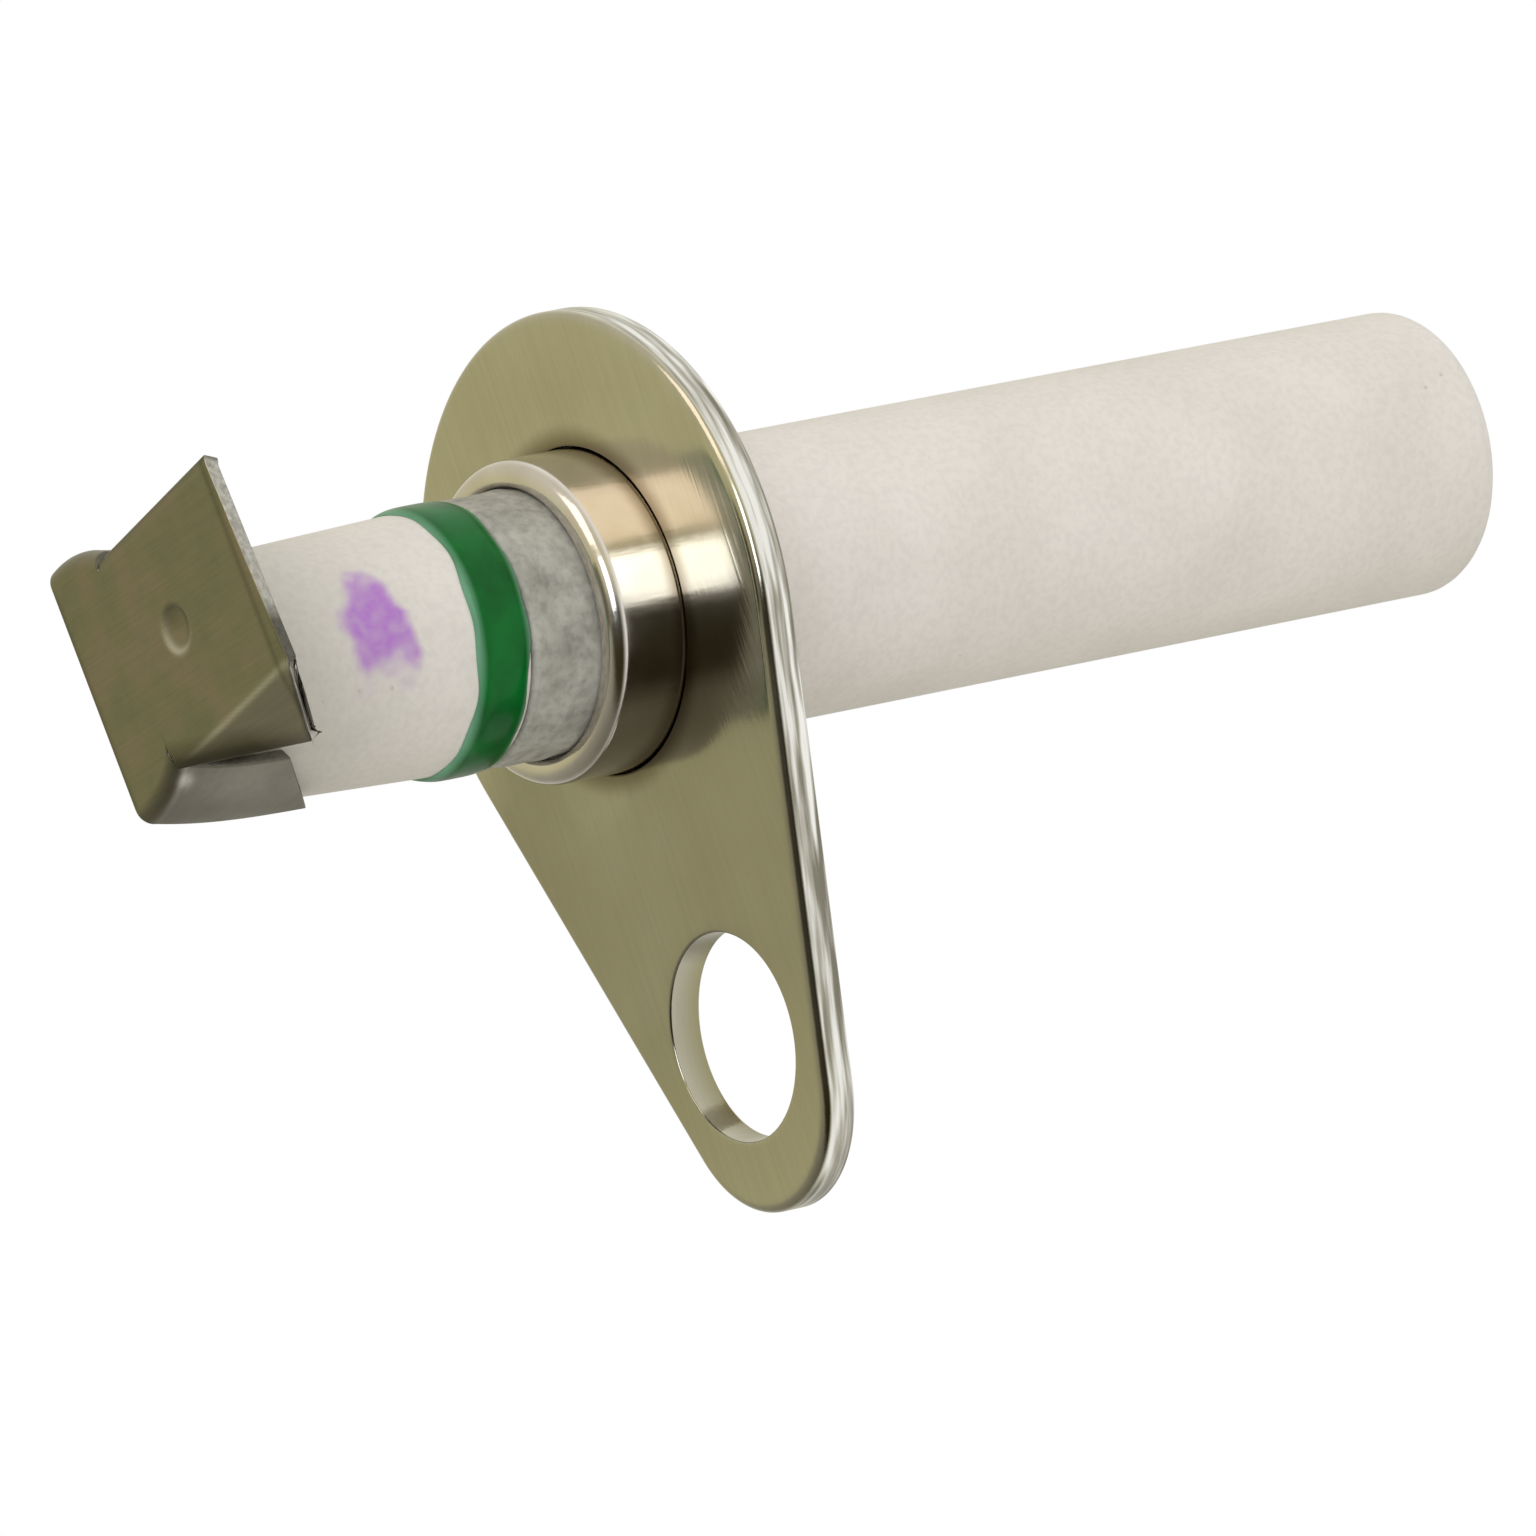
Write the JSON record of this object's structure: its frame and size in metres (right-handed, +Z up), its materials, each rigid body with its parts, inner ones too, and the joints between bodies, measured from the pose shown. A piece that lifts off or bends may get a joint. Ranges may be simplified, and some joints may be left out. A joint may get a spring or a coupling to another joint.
{
  "type": "ignition electrode",
  "caption": "Gas burner ignition electrode: ceramic insulator in a flanged steel collar on a teardrop plate with a screw hole, with a folded metal spark flag at its tip.",
  "frame": {"origin": "on the electrode's axis, in the plane of the mounting plate's front face, where the collar passes through the bracket", "axes": "+X along the electrode from the spark tip towards the terminal end, +Z up, with the plate's leg and its screw hole along -Z"},
  "size_m": [0.0524, 0.0206, 0.0301],
  "materials": {
    "plated_steel_sheet": "satin nickel plating, faintly warm",
    "bright_plated_steel": "bright nickel plating, polished",
    "alumina": "white alumina with a thin clear glaze and a violet ink spot on the nose",
    "soft_copper": "annealed copper",
    "sealing_cement": "rough grey, matt and porous",
    "green_enamel": "glossy green enamel",
    "electrode_alloy": "drawn heat-resisting alloy wire",
    "refractory_cement": "rough grey cement",
    "spring_steel": "plated spring steel",
    "terminal_steel": "turned and nickel plated",
    "cap_sheet": "heat-tinted stainless sheet, satin"
  },
  "bodies": {
    "root": {"mounting_plate": "plated_steel_sheet", "ferrule": "bright_plated_steel", "insulator": "alumina", "crush_gasket": "soft_copper", "sealing_sleeve": "sealing_cement", "color_band": "green_enamel", "electrode_rod": "electrode_alloy", "nose_cement": "refractory_cement", "rear_cement": "refractory_cement", "lock_washer": "spring_steel", "terminal_stud": "terminal_steel", "spark_cap": "cap_sheet"}
  },
  "joints": []
}
